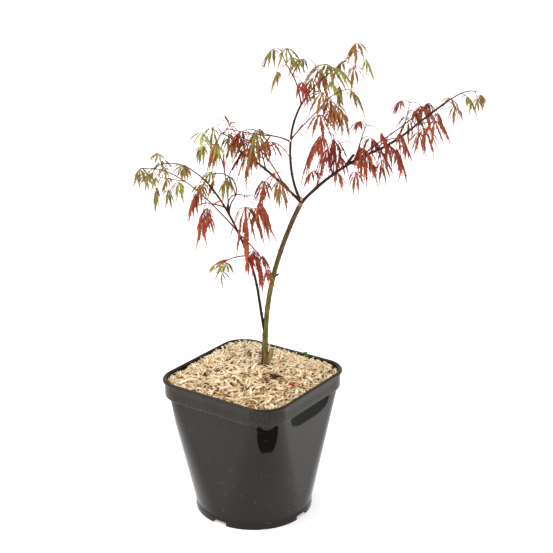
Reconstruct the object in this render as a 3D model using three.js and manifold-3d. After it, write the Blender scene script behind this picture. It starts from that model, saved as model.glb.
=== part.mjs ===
// A young grafted Japanese maple with finely cut, hanging leaves, in a square-topped nursery pot.
//
// Millimetres, +Z up. The origin is the middle of the pot's flat underside, and the pot's sides
// face +X, -X, +Y and -Y. The crown is spread like a fan in one upright plane over the pot.
// Every limb and every spray of leaves is a curve that starts on the limb that carries it, and
// is given by its length and by turns and rises along it. A turn of 0 heads for the fan's right
// end, 90 for its back, 180 for its left end and -90 for its front. A rise is the angle above
// the horizontal, and one over 90 leans back over.
import * as THREE from "three";
import { mergeVertices } from "three/addons/utils/BufferGeometryUtils.js";
import Module from "manifold-3d";

const wasm = await Module();
wasm.setup();

// ---------------------------------------------------------------- driving dimensions

const POT_HEIGHT = 192;
const LIP_SIDE = 190; // across the rolled lip, from side to side
const LIP_CORNER = 34; // radius of its corners
const LIP_TALL = 5.5;
const COLLAR_SIDE = 186.5; // the upright band under the lip
const COLLAR_BOTTOM = 168; // height of the band's lower edge
const SHOULDER_SIDE = 182.5; // the body just below the band
const SHOULDER_CORNER = 35;
const FOOT_RADIUS = 78.5; // the body ends in a round foot
const FOOT_FLAT = 2; // half of the short flat in the middle of each side of the foot
const FOOT_TALL = 12;
const CORNER_STEPS = 4;
const POT_WALL = 2.4;
const POT_FLOOR = 8;
const NOTCH_WIDE = 21; // four drainage notches in the foot
const NOTCH_TALL = 5.5;
const NOTCH_DEEP = 11;
const FINEST = 0.08; // joined solids keep no detail below this
const CLEAR = 0.3; // gap between solids that touch

const SOIL_RIM = 183; // height of the mulch at the wall
const SOIL_CROWN = 200; // and round the trunk
const SOIL_PAD = 13; // radius of the flat round the trunk
const HEAP_STEPS = [0, 0.18, 0.4, 0.7, 1]; // from the wall to the pad
const TRUNK_FOOT = new THREE.Vector3(13, 9, SOIL_CROWN + CLEAR);
const FAN_HEADING = 36; // the fan's right end, anticlockwise from +X, seen from above

const STEPS_OF_CURVE = 24;
const LIMB_STRIDE = 3; // a limb's solid takes every third step of its curve
const STEM_STRIDE = 4; // and a spray's stem every fourth
const SIDES_OF_LIMB = 7;
const SIDES_OF_STUB = 6;
const FLARE_LENGTH = 24; // the root flare fades over this length
const STEM_RADIUS = 0.95; // a spray's own stem at its root
const TWIG_RADIUS = 0.7;
const STALK_RADIUS = 0.6;
const STALK_SHARE = 0.45; // a leaf's stalk, as a share of its blade
const TWIG_SHARE = 0.25; // a side twig, as a share of its spray's stem
const MISSING = 0.08; // the chance that a leaf has dropped
const HUB_RADIUS = 2; // where a leaf's lobes meet its stalk
const HUB_THICK = 1.6;
const OUTER_BAY = 22; // degrees from the outermost lobe to the blade's back edge
const LOBE_THICK = 0.9;
const LOBE_HALF_WIDTH = 0.045; // as a share of the lobe's length
const LOBE_BEND = 0.45; // how far along a lobe its widest part lies

// A leaf's lobes: turn from the middle lobe in degrees, and length as a share of the leaf's.
const LOBES = [
  { turn: 0, long: 1 },
  { turn: 32, long: 0.94 },
  { turn: -32, long: 0.94 },
  { turn: 66, long: 0.78 },
  { turn: -66, long: 0.78 },
];

// ---------------------------------------------------------------- trunk and boughs
// on and at: the limb that carries this one, and how far along it. radius: at root and tip.

const LIMBS = [
  { name: "trunk", length: 232, turn: [0, 0], rise: [92, 84, 73, 64],
    radius: [3.3, 3], flare: 2.8 },
  { name: "left_stem", on: "trunk", at: 0.19, length: 230, turn: [200, 200],
    rise: [80, 82, 70, 64, 52], radius: [2, 1.2] },
  { name: "right_bough", on: "trunk", at: 1, length: 222, turn: [10, 10],
    rise: [46, 34, 20, 38, 34], radius: [2.1, 1.3] },
  { name: "centre_bough", on: "trunk", at: 1, length: 130, turn: [0, 0],
    rise: [116, 98, 84, 62], radius: [1.8, 1.3] },
  { name: "left_bough", on: "trunk", at: 1, length: 104, turn: [155, 155],
    rise: [40, 36, 24], radius: [1.9, 1.3] },
];

// Cut stubs: the rootstock beside the graft, an old bud on the trunk, a pruned side shoot.
const STUBS = [
  { name: "rootstock", on: "trunk", at: 0.02, length: 24, turn: [0, 0], rise: [50, 85],
    radius: [5, 2.6] },
  { name: "bud", on: "trunk", at: 0.55, length: 8, turn: [0, 0], rise: [10, 30],
    radius: [1.9, 1] },
  { name: "pruned_shoot", on: "right_bough", at: 0.33, length: 18, turn: [0, 0],
    rise: [62, 50], radius: [2, 1.8] },
];

// ---------------------------------------------------------------- sprays of leaves
// pairs: pairs of leaves along the stem, from first to the tip, each square to the last one.
// forks: how many of the pairs hold a side twig. leaf: the length of a leaf's middle lobe.
// hang: how strongly the leaf droops. The first spray draws from seed 1, the next from seed 2.

const SPRAYS = [
  { name: "far_left_arch", on: "left_stem", at: 1, length: 82, turn: [190, 190],
    rise: [48, 36, 2, -42], pairs: 3, first: 0.4, leaf: 24, hang: 2 },
  { name: "far_left_low", on: "left_stem", at: 0.66, length: 155, turn: [160, 160],
    rise: [46, 42, 36, 18, -12], pairs: 3, first: 0.6, leaf: 28, hang: 3, forks: 1 },
  { name: "left_green", on: "left_stem", at: 0.77, length: 90, turn: [170, 170],
    rise: [85, 125, 60, 0, -35], pairs: 3, first: 0.6, leaf: 28, hang: 3 },
  { name: "up_left", on: "left_stem", at: 0.78, length: 112, turn: [215, 215],
    rise: [90, 84, 80, 62, 15], pairs: 2, first: 0.85, leaf: 28, hang: 3 },
  { name: "hanging", on: "left_stem", at: 0.8, length: 40, turn: [-20, -20],
    rise: [88, 70, 15, -20], pairs: 2, first: 0.95, leaf: 58, hang: 4.5 },
  { name: "left_red", on: "left_stem", at: 0.82, length: 28, turn: [205, 205],
    rise: [30, 10], pairs: 2, first: 0.5, leaf: 42, hang: 4 },
  { name: "lower_left", on: "left_stem", at: 0.5, length: 40, turn: [170, 170],
    rise: [0, -20, -45], pairs: 2, first: 0.7, leaf: 24, hang: 2 },
  { name: "right_droop", on: "left_stem", at: 0.64, length: 48, turn: [-20, -20],
    rise: [-34, -46, -48], pairs: 3, first: 0.3, leaf: 36, hang: 3 },
  { name: "left_tip", on: "left_bough", at: 1, length: 34, turn: [165, 165],
    rise: [70, 45, 10], pairs: 2, first: 0.4, leaf: 36, hang: 3.5 },
  { name: "left_mid", on: "left_bough", at: 0.6, length: 46, turn: [200, 200],
    rise: [80, 74, 60], pairs: 3, first: 0.3, leaf: 42, hang: 3 },
  { name: "left_under", on: "left_bough", at: 0.45, length: 26, turn: [265, 265],
    rise: [35, 15], pairs: 3, first: 0.2, leaf: 36, hang: 3 },
  { name: "left_back", on: "left_bough", at: 0.3, length: 100, turn: [150, 150],
    rise: [60, 50, 30, 5], pairs: 2, first: 0.7, leaf: 28, hang: 1 },
  { name: "centre_left", on: "centre_bough", at: 0.62, length: 84, turn: [160, 160],
    rise: [24, 0, 5, 9], pairs: 3, first: 0.3, leaf: 36, hang: 3, forks: 1 },
  { name: "centre_right", on: "centre_bough", at: 0.64, length: 100, turn: [-25, -25],
    rise: [52, 46, 50, 18], pairs: 3, first: 0.5, leaf: 38, hang: 3, forks: 1 },
  { name: "top_left", on: "centre_bough", at: 1, length: 76, turn: [215, 215],
    rise: [76, 74, 58, 56, 75], pairs: 3, first: 0.5, leaf: 36, hang: 3 },
  { name: "top_right", on: "centre_bough", at: 1, length: 100, turn: [30, 30],
    rise: [50, 44, 26, 34, 36], pairs: 4, first: 0.35, leaf: 40, hang: 3, forks: 1 },
  { name: "right_near", on: "right_bough", at: 0.12, length: 18, turn: [60, 60],
    rise: [70, 60], pairs: 1, first: 1, leaf: 38, hang: 3 },
  { name: "right_front", on: "right_bough", at: 0.24, length: 50, turn: [-40, -40],
    rise: [84, 90, 95], pairs: 3, first: 0.4, leaf: 58, hang: 4 },
  { name: "right_under", on: "right_bough", at: 0.34, length: 18, turn: [-40, -40],
    rise: [30, 0], pairs: 1, first: 1, leaf: 34, hang: 3 },
  { name: "right_stub_twig", on: "right_bough", at: 0.38, length: 50, turn: [-20, -20],
    rise: [70, 75, 70], pairs: 2, first: 0.6, leaf: 38, hang: 3 },
  { name: "right_mid", on: "right_bough", at: 0.52, length: 32, turn: [-20, -20],
    rise: [60, 40, 0], pairs: 3, first: 0.2, leaf: 42, hang: 3.5 },
  { name: "right_back", on: "right_bough", at: 0.42, length: 120, turn: [30, 30],
    rise: [34, 24, 28, 30], pairs: 3, first: 0.65, leaf: 36, hang: 3, forks: 1 },
  { name: "right_out", on: "right_bough", at: 0.75, length: 26, turn: [-35, -35],
    rise: [45, 10], pairs: 2, first: 0.5, leaf: 38, hang: 3 },
  { name: "right_tip", on: "right_bough", at: 1, length: 40, turn: [0, 0],
    rise: [36, 32, 20, -10], pairs: 3, first: 0.1, leaf: 28, hang: 2 },
];

// ---------------------------------------------------------------- curves

const DOWN = new THREE.Vector3(0, 0, -1);
const RADIANS = Math.PI / 180;

// Value at t, from 0 to 1, between evenly spaced stations.
function between(stations, t) {
  const along = t * (stations.length - 1);
  const first = Math.min(Math.floor(along), stations.length - 2);
  return THREE.MathUtils.lerp(stations[first], stations[first + 1], along - first);
}

// A limb's curve: equal steps, each along the turn and rise at its middle.
function curveFrom(start, row) {
  const points = [start.clone()];
  const directions = [];
  for (let step = 0; step < STEPS_OF_CURVE; step++) {
    const t = (step + 0.5) / STEPS_OF_CURVE;
    const heading = (FAN_HEADING + between(row.turn, t)) * RADIANS;
    const rise = between(row.rise, t) * RADIANS;
    const direction = new THREE.Vector3(
      Math.cos(rise) * Math.cos(heading), Math.cos(rise) * Math.sin(heading), Math.sin(rise));
    directions.push(direction);
    points.push(points[step].clone().addScaledVector(direction, row.length / STEPS_OF_CURVE));
  }
  directions.push(directions[STEPS_OF_CURVE - 1].clone());
  return { points, directions };
}

// A thread of even steps that leaves along a direction and is pulled down as it goes.
function hangingCurve(start, leaving, length, pull, steps) {
  const points = [start.clone()];
  const directions = [];
  for (let step = 0; step < steps; step++) {
    const direction = leaving.clone()
      .addScaledVector(DOWN, (pull * (step + 0.5)) / steps).normalize();
    directions.push(direction);
    points.push(points[step].clone().addScaledVector(direction, length / steps));
  }
  directions.push(directions[steps - 1].clone());
  return { points, directions };
}

function placeOn(list, t) {
  const along = t * (list.length - 1);
  const first = Math.min(Math.floor(along), list.length - 2);
  return list[first].clone().lerp(list[first + 1], along - first);
}

// ---------------------------------------------------------------- solids

function solidFrom(geometry) {
  geometry.deleteAttribute("normal");
  geometry.deleteAttribute("uv");
  const merged = mergeVertices(geometry, 1e-5);
  return new wasm.Manifold(new wasm.Mesh({
    numProp: 3,
    vertProperties: new Float32Array(merged.attributes.position.array),
    triVerts: new Uint32Array(merged.index.array),
  }));
}

function meshFrom(name, solid, material) {
  const { vertProperties, triVerts } = solid.getMesh();
  const geometry = new THREE.BufferGeometry();
  geometry.setAttribute("position", new THREE.BufferAttribute(vertProperties, 3));
  geometry.setIndex(new THREE.BufferAttribute(triVerts, 1));
  geometry.computeVertexNormals();
  const mesh = new THREE.Mesh(geometry, material);
  mesh.name = name;
  return mesh;
}

// The biggest body left of a solid once other solids are cut away from it, with slivers gone.
function restOf(solid, others) {
  const cut = others.length ? solid.subtract(wasm.Manifold.union(others)) : solid;
  const bodies = cut.simplify(FINEST).decompose();
  return bodies.sort((a, b) => b.volume() - a.volume())[0].asOriginal();
}

// A tapering tube: a closed cylinder whose rows are laid along the curve.
function tube(points, radiusAt, sides) {
  const steps = points.length - 1;
  const geometry = new THREE.CylinderGeometry(1, 1, steps, sides, steps);
  const position = geometry.attributes.position;
  const across = [];
  let normal = new THREE.Vector3(1, 0, 0);
  for (let row = 0; row <= steps; row++) {
    const ahead = points[Math.min(row + 1, steps)].clone()
      .sub(points[Math.max(row - 1, 0)]).normalize();
    if (row === 0 && Math.abs(ahead.x) > 0.9) normal.set(0, 1, 0);
    normal = normal.clone().addScaledVector(ahead, -normal.dot(ahead)).normalize();
    across.push([normal, normal.clone().cross(ahead)]);
  }
  for (let i = 0; i < position.count; i++) {
    const row = Math.round(position.getY(i) + steps / 2);
    const radius = radiusAt(row / steps);
    const place = points[row].clone()
      .addScaledVector(across[row][0], radius * position.getX(i))
      .addScaledVector(across[row][1], radius * position.getZ(i));
    position.setXYZ(i, place.x, place.y, place.z);
  }
  return solidFrom(geometry);
}

// A closed skin over rings of equally many points, with a fan over the first and the last.
function loft(rings) {
  const count = rings[0].length;
  const middle = (ring) => ring.reduce((sum, p) => sum.add(p), new THREE.Vector3())
    .divideScalar(count);
  const places = [middle(rings[0]), ...rings.flat(), middle(rings[rings.length - 1])];
  const last = places.length - 1;
  const faces = [];
  for (let i = 0; i < count; i++) {
    const next = (i + 1) % count;
    faces.push(0, 1 + next, 1 + i);
    faces.push(last, last - count + i, last - count + next);
    for (let ring = 0; ring < rings.length - 1; ring++) {
      const low = 1 + ring * count;
      const high = low + count;
      faces.push(low + i, low + next, high + next);
      faces.push(low + i, high + next, high + i);
    }
  }
  const geometry = new THREE.BufferGeometry().setFromPoints(places);
  geometry.setIndex(faces);
  return solidFrom(geometry);
}

// ---------------------------------------------------------------- pot and mulch

// A rounded square: half its side, the radius of its corners, its height.
function potRing(half, corner, height) {
  const ring = [];
  for (let quarter = 0; quarter < 4; quarter++) {
    const turn = new THREE.Matrix4().makeRotationZ(quarter * Math.PI / 2);
    const outline = [new THREE.Vector3(half, 0, height)];
    for (let step = 0; step <= CORNER_STEPS; step++) {
      const angle = (Math.PI / 2) * (step / CORNER_STEPS);
      const [x, y] = [Math.cos(angle), Math.sin(angle)].map((c) => half - corner + corner * c);
      outline.push(new THREE.Vector3(x, y, height));
    }
    ring.push(...outline.map((point) => point.applyMatrix4(turn)));
  }
  return ring;
}

// The body's section runs evenly from the round foot to the square shoulder.
function bodyRing(height, inset) {
  const t = (height - FOOT_TALL) / (COLLAR_BOTTOM - FOOT_TALL);
  const half = THREE.MathUtils.lerp(FOOT_RADIUS, SHOULDER_SIDE / 2, t) - inset;
  const corner = THREE.MathUtils.lerp(FOOT_RADIUS - FOOT_FLAT, SHOULDER_CORNER, t) - inset;
  return potRing(half, corner, height);
}

function makePot() {
  const collar = COLLAR_SIDE / 2;
  const lip = LIP_SIDE / 2;
  const lipUnder = POT_HEIGHT - LIP_TALL;
  const roll = LIP_TALL / 4;
  const foot = (height, inset) =>
    potRing(FOOT_RADIUS - inset, FOOT_RADIUS - FOOT_FLAT - inset, height);
  const rings = [
    foot(0, 0.6), foot(1.5, 0), foot(FOOT_TALL, 0),
    bodyRing(COLLAR_BOTTOM, 0),
    potRing(collar, SHOULDER_CORNER, COLLAR_BOTTOM + 2),
    potRing(collar, SHOULDER_CORNER, lipUnder),
    potRing(lip - roll / 2, LIP_CORNER, lipUnder),
    potRing(lip, LIP_CORNER, lipUnder + roll),
    potRing(lip, LIP_CORNER, POT_HEIGHT - roll),
    potRing(lip - roll, LIP_CORNER, POT_HEIGHT),
    potRing(lip - 2 * roll, LIP_CORNER - roll, POT_HEIGHT),
    potRing(collar - POT_WALL, SHOULDER_CORNER - POT_WALL, POT_HEIGHT - roll),
    potRing(collar - POT_WALL, SHOULDER_CORNER - POT_WALL, COLLAR_BOTTOM + 3),
    bodyRing(COLLAR_BOTTOM - 1, POT_WALL),
    bodyRing(FOOT_TALL, POT_WALL),
    foot(POT_FLOOR, POT_WALL),
  ];
  let pot = loft(rings);
  for (let side = 0; side < 4; side++) {
    const notch = new THREE.BoxGeometry(2 * NOTCH_DEEP, NOTCH_WIDE, 2 * NOTCH_TALL);
    notch.translate(FOOT_RADIUS, 0, 0).rotateZ(side * Math.PI / 2);
    pot = pot.subtract(solidFrom(notch));
  }
  return pot;
}

// Mulch and compost in one: it fills the pot and heaps up to a flat pad round the trunk.
function makeSoil() {
  const inset = POT_WALL + CLEAR;
  const wall = (height) =>
    potRing(COLLAR_SIDE / 2 - inset, SHOULDER_CORNER - inset, height);
  const rings = [
    potRing(FOOT_RADIUS - inset, FOOT_RADIUS - FOOT_FLAT - inset, POT_FLOOR + CLEAR),
    bodyRing(FOOT_TALL, inset),
    bodyRing(COLLAR_BOTTOM - 1, inset),
    wall(COLLAR_BOTTOM + 3.5),
  ];
  const pad = wall(0).map((point) =>
    point.setZ(0).setLength(SOIL_PAD).add(new THREE.Vector3(TRUNK_FOOT.x, TRUNK_FOOT.y, 0)));
  for (const inward of HEAP_STEPS) {
    const height = SOIL_RIM + (SOIL_CROWN - SOIL_RIM) * Math.sin(inward * Math.PI / 2);
    rings.push(wall(0).map((point, i) => point.lerp(pad[i], inward).setZ(height)));
  }
  return loft(rings);
}

// ---------------------------------------------------------------- trunk and boughs

const curves = {};
const grownLimbs = []; // each limb with 0.3 mm more all round
const sprays = [];

function limbRadius(row) {
  return (t) => THREE.MathUtils.lerp(row.radius[0], row.radius[1], t) +
    (row.flare ?? 0) * Math.exp((-t * row.length) / FLARE_LENGTH);
}

function rootOf(row) {
  return row.on ? placeOn(curves[row.on].points, row.at) : TRUNK_FOOT;
}

// The trunk comes first, and each later limb is cut 0.3 mm clear of those before it.
function makeLimb(row) {
  curves[row.name] = curveFrom(rootOf(row), row);
  const radiusAt = limbRadius(row);
  const points = curves[row.name].points.filter((_, i) => i % LIMB_STRIDE === 0);
  const stubs = STUBS.filter((stub) => stub.on === row.name).map((stub) => {
    const { points: line } = curveFrom(placeOn(points, stub.at), stub);
    return { ...stub, bends: [0, STEPS_OF_CURVE / 2, STEPS_OF_CURVE].map((i) => line[i]) };
  });
  const withStubs = (more) => wasm.Manifold.union([
    tube(points, (t) => radiusAt(t) + more, SIDES_OF_LIMB),
    ...stubs.map(({ bends, radius }) =>
      tube(bends, (t) => THREE.MathUtils.lerp(...radius, t) + more, SIDES_OF_STUB)),
  ]);
  const solid = restOf(withStubs(0), grownLimbs);
  grownLimbs.push(withStubs(CLEAR));
  return solid;
}

// ---------------------------------------------------------------- sprays of leaves

// Repeatable draws from 0 to 1: the same seed always grows the same spray.
function drawsFrom(seed) {
  let state = seed >>> 0;
  const draw = () => {
    state = (Math.imul(state, 1664525) + 1013904223) >>> 0;
    return state / 4294967296;
  };
  for (let warm = 0; warm < 3; warm++) draw();
  return draw;
}

// Unit vectors across a stem: the level one, and the one square to it and to the stem.
function acrossOf(direction) {
  const level = new THREE.Vector3(-direction.y, direction.x, 0);
  if (level.lengthSq() > 1e-4) level.normalize();
  else level.set(1, 0, 0);
  return [level, level.clone().cross(direction)];
}

// A direction that leans out of a stem by an angle, on the side that a turn about it gives.
function leanOut(direction, turn, angle) {
  const [level, upright] = acrossOf(direction);
  const out = level.multiplyScalar(Math.cos(turn)).addScaledVector(upright, Math.sin(turn));
  return direction.clone().multiplyScalar(Math.cos(angle))
    .addScaledVector(out, Math.sin(angle)).normalize();
}

// A leaf: its stalk droops, and its lobes fan out from the stalk's end and hang.
function growLeaf(row, root, direction, turn, draws) {
  const leaving = leanOut(direction, turn, (35 + 45 * draws[2]) * RADIANS);
  const length = STALK_SHARE * row.leaf * (0.55 + 0.9 * draws[3]);
  const stalk = hangingCurve(root, leaving, length, 0.35 * row.hang, 4);
  const forward = stalk.directions[3];
  const [level] = acrossOf(forward);
  const twist = (draws[5] - 0.5) * 70 * RADIANS;
  const side = level.clone().multiplyScalar(Math.cos(twist))
    .addScaledVector(forward.clone().cross(level), Math.sin(twist));
  const size = row.leaf * (0.7 + 0.6 * draws[4]);
  const spread = 0.8 + 0.5 * draws[6];
  const lobes = LOBES.map(({ turn: lobeTurn, long }) => {
    const angle = lobeTurn * RADIANS * spread;
    const leavingHub = forward.clone().multiplyScalar(Math.cos(angle))
      .addScaledVector(side, Math.sin(angle));
    const sideways = side.clone().multiplyScalar(Math.cos(angle))
      .addScaledVector(forward, -Math.sin(angle));
    return { line: hangingCurve(stalk.points[4], leavingHub, size * long, row.hang, 4),
      length: size * long, angle, leavingHub, sideways };
  });
  return { stalk, forward, side, lobes };
}

// Leaves stand in opposite pairs, each pair square to the last; the first forks of a spray
// are side twigs, which bear two pairs of their own.
function growSpray(row, stem, seed) {
  const draw = drawsFrom(seed);
  const leaves = [];
  const twigs = [];
  function growNodes(line, { pairs, first, gaps, roll, forks }) {
    for (let pair = 0; pair < pairs; pair++) {
      const t = first + (1 - first) * (pairs > 1 ? pair / (pairs - 1) : 1);
      const root = placeOn(line.points, t);
      const direction = placeOn(line.directions, t).normalize();
      for (let side = 0; side < 2; side++) {
        const draws = Array.from({ length: 8 }, draw);
        const turn = (roll + 90 * pair + 180 * side + (draws[1] - 0.5) * 70) * RADIANS;
        if (draws[0] < gaps) continue;
        if (pair < forks && (pair + side) % 2 === 0) {
          const leaving = leanOut(direction, turn, (35 + 25 * draws[2]) * RADIANS);
          const length = TWIG_SHARE * row.length * (0.7 + 0.6 * draws[3]);
          const twig = hangingCurve(root, leaving, length, -0.25 + 0.5 * draws[4], 5);
          twigs.push(twig);
          growNodes(twig, { pairs: 2, first: 0.55, gaps: gaps * 0.6, roll: draws[5] * 360,
            forks: 0 });
        } else leaves.push(growLeaf(row, root, direction, turn, draws));
      }
    }
  }
  growNodes(stem, { ...row, gaps: MISSING, roll: 0, forks: row.forks ?? 0 });
  return { leaves, twigs };
}

// The corners of a lobe's blade: its two edges, upper and lower face at the bend, and its tip.
function lobeCorners({ line, length, leavingHub, sideways }) {
  const waist = placeOn(line.points, LOBE_BEND);
  const tip = line.points[4];
  const along = tip.clone().sub(line.points[0]).normalize();
  const [width] = acrossOf(leavingHub);
  width.addScaledVector(along, -width.dot(along)).normalize();
  if (width.dot(sideways) < 0) width.negate();
  const up = along.clone().cross(width).multiplyScalar(LOBE_THICK / 2);
  width.multiplyScalar(LOBE_HALF_WIDTH * length + 0.4);
  return [waist.clone().sub(width), waist.clone().add(width),
    waist.clone().add(up), waist.clone().sub(up), tip.clone()];
}

// One lobe by itself, an octahedron pulled out into a blade, to see whether it has room.
function lobeSolid(lobe) {
  const [left, right, upper, lower, tip] = lobeCorners(lobe);
  const geometry = new THREE.OctahedronGeometry(1);
  const position = geometry.attributes.position;
  const corner = (x, y, z) => (x > 0.5 ? right : x < -0.5 ? left
    : z > 0.5 ? upper : z < -0.5 ? lower : y > 0.5 ? lobe.line.points[0] : tip);
  for (let i = 0; i < position.count; i++) {
    const place = corner(position.getX(i), position.getY(i), position.getZ(i));
    position.setXYZ(i, place.x, place.y, place.z);
  }
  return solidFrom(geometry);
}

// A leaf's blade: the lobes share an upper and a lower point over the hub, and the points
// between neighbouring lobes, so the whole leaf is one closed skin of 12 faces a lobe.
function bladeSolid(hub, forward, side, lobes) {
  const up = forward.clone().cross(side).multiplyScalar(HUB_THICK / 2);
  const places = [hub.clone().add(up), hub.clone().sub(up)];
  const bayAt = (angle) => places.push(hub.clone()
    .addScaledVector(forward, HUB_RADIUS * Math.cos(angle))
    .addScaledVector(side, HUB_RADIUS * Math.sin(angle))) - 1;
  const ordered = [...lobes].sort((a, b) => a.angle - b.angle);
  const outer = OUTER_BAY * RADIANS;
  const firstBay = bayAt(ordered[0].angle - outer);
  const faces = [];
  let bay = firstBay;
  ordered.forEach((lobe, i) => {
    const next = ordered[i + 1];
    const nextBay = bayAt(next ? (lobe.angle + next.angle) / 2 : lobe.angle + outer);
    const left = places.push(...lobeCorners(lobe)) - 5;
    const [right, upper, lower, tip] = [left + 1, left + 2, left + 3, left + 4];
    faces.push(0, bay, upper, bay, left, upper, 0, upper, nextBay, nextBay, upper, right);
    faces.push(1, lower, bay, bay, lower, left, 1, nextBay, lower, nextBay, right, lower);
    faces.push(left, tip, upper, upper, tip, right, left, lower, tip, lower, right, tip);
    bay = nextBay;
  });
  faces.push(0, bay, firstBay, 1, firstBay, bay);
  const geometry = new THREE.BufferGeometry().setFromPoints(places);
  geometry.setIndex(faces);
  return solidFrom(geometry);
}

function isFree(solid, taken) {
  const common = solid.intersect(taken);
  const free = common.isEmpty();
  common.delete();
  return free;
}

// The spray's stem meets its limb 0.3 mm clear. A twig, stalk or lobe that would touch a limb
// or another spray is skipped, and so is a lobe that would cross another leaf of its own spray.
function makeSpray(row, index) {
  const stem = curveFrom(rootOf(row), row);
  const bends = stem.points.filter((_, i) => i % STEM_STRIDE === 0);
  const stemSolid = tube(bends, (t) => THREE.MathUtils.lerp(STEM_RADIUS, TWIG_RADIUS, t), 3);
  const taken = wasm.Manifold.union([...grownLimbs, ...sprays]).asOriginal();
  const { leaves, twigs } = growSpray(row, stem, index + 1);
  const parts = [restOf(stemSolid, [taken])];
  for (const twig of twigs) {
    const twigSolid = tube([0, 3, 5].map((i) => twig.points[i]), () => TWIG_RADIUS, 3);
    if (isFree(twigSolid, taken)) parts.push(twigSolid);
  }
  let crowded = taken;
  for (const { stalk, forward, side, lobes } of leaves) {
    const hub = stalk.points[4];
    const end = hub.clone().addScaledVector(forward, HUB_RADIUS / 2);
    const stalkSolid = tube([stalk.points[0], end], () => STALK_RADIUS, 3);
    const free = lobes.filter((lobe) => {
      const single = lobeSolid(lobe);
      const hasRoom = isFree(single, crowded);
      single.delete();
      return hasRoom;
    });
    if (!free.length || !isFree(stalkSolid, taken)) continue;
    const blade = bladeSolid(hub, forward, side, free);
    parts.push(stalkSolid, blade);
    crowded = crowded.add(blade).asOriginal();
  }
  let spray = restOf(wasm.Manifold.union(parts), grownLimbs);
  if (!isFree(spray, taken)) spray = restOf(spray, [...grownLimbs, ...sprays]);
  sprays.push(spray);
  return spray;
}

// ---------------------------------------------------------------- the plant and its pot

const finish = (color, roughness) =>
  new THREE.MeshStandardMaterial({ color, roughness, metalness: 0 });
const FINISHES = {
  pot: finish(0x26272a, 0.35),
  mulch: finish(0xd9c08e, 0.95),
  bark: finish(0x5a4a2c, 0.6),
  young_bark: finish(0x3a1f22, 0.5),
  leaf: finish(0x96452f, 0.6),
};

const maple = new THREE.Group();
maple.add(meshFrom("pot", makePot(), FINISHES.pot));
maple.add(meshFrom("potting_soil", makeSoil(), FINISHES.mulch));

for (const row of LIMBS) {
  const finishName = row.name === "trunk" ? "bark" : "young_bark";
  maple.add(meshFrom(row.name, makeLimb(row), FINISHES[finishName]));
}

SPRAYS.forEach((row, index) =>
  maple.add(meshFrom(`leaves_${row.name}`, makeSpray(row, index), FINISHES.leaf)));

export default maple;
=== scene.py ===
import bpy
import numpy as np
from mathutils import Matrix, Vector


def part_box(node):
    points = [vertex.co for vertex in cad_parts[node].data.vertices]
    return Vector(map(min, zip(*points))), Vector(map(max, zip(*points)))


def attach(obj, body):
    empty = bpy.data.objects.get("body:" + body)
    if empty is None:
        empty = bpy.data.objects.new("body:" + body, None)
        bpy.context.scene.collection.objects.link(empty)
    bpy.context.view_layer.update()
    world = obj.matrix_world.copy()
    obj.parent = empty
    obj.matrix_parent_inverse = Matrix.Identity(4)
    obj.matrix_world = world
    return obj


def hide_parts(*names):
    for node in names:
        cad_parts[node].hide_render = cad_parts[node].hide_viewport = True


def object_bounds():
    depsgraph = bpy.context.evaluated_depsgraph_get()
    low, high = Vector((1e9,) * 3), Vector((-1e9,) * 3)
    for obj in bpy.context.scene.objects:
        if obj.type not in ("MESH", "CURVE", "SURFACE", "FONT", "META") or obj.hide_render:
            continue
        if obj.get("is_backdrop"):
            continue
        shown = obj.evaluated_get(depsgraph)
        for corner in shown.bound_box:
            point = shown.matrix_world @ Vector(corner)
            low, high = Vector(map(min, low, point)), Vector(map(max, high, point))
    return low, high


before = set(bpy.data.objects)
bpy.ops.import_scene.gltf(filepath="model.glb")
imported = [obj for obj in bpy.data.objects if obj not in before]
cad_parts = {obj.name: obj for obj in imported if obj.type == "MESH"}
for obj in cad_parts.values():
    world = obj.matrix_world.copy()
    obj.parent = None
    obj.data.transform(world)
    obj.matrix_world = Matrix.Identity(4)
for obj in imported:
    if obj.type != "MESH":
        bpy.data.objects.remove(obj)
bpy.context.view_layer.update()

# ---------------------------------------------------------------- nursery pot
# A black polypropylene pot from an injection mould: a rolled lip, an upright collar, and a thin
# wall that runs from a rounded square under the collar to a round foot with four drain notches.
# Flats under the collar at its corners and on two sides keep stacked pots from jamming.

LIP_HALF, _, POT_TOP = np.array(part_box("pot")[1]) * 1000
LIP_CORNER = 34
LIP_TALL = 5.5
LIP_ROLL = 2.2
COLLAR_HALF = LIP_HALF - 1.75
COLLAR_BOTTOM = 168
SHOULDER_HALF = 91.25
SHOULDER_CORNER = 35
FOOT_RADIUS = 78.5
FOOT_FLAT = 2
FOOT_CORNER = FOOT_RADIUS - FOOT_FLAT
FOOT_TALL = 12
POT_WALL = 2.4
POT_FLOOR = 8
NOTCH_HALF = 10.5
NOTCH_TALL = 5.5
NOTCH_DEEP = 11
CORNER_FLAT = {"half": 13.5, "drop": 42, "slope": 0.07}
SIDE_FLAT = {"half": 46, "drop": 21, "slope": 0.06}
SIDE_COLUMNS = 26
ARC_COLUMNS = 52
FLAT_EDGE = 9  # a flat shows in full where it cuts in by one part in this many of a millimetre


def paint(code):
    """A colour written as six hex digits, as the linear red, green, blue and alpha of a socket."""
    level = np.array([int(code[i:i + 2], 16) for i in (0, 2, 4)]) / 255
    linear = np.where(level > 0.04045, ((level + 0.055) / 1.055) ** 2.4, level / 12.92)
    return (*linear.tolist(), 1.0)


def feed(tree, value, socket):
    """Links a socket to another one, or gives it a plain value."""
    if isinstance(value, bpy.types.NodeSocket):
        tree.links.new(value, socket)
    else:
        socket.default_value = value


def add_node(tree, kind, settings=None, **inputs):
    """One shader node. settings are its own properties, and inputs are fed by name."""
    node = tree.nodes.new("ShaderNode" + kind)
    for key, value in (settings or {}).items():
        setattr(node, key, value)
    for key, value in inputs.items():
        feed(tree, value, node.inputs[key.replace("_", " ")])
    return node


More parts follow.
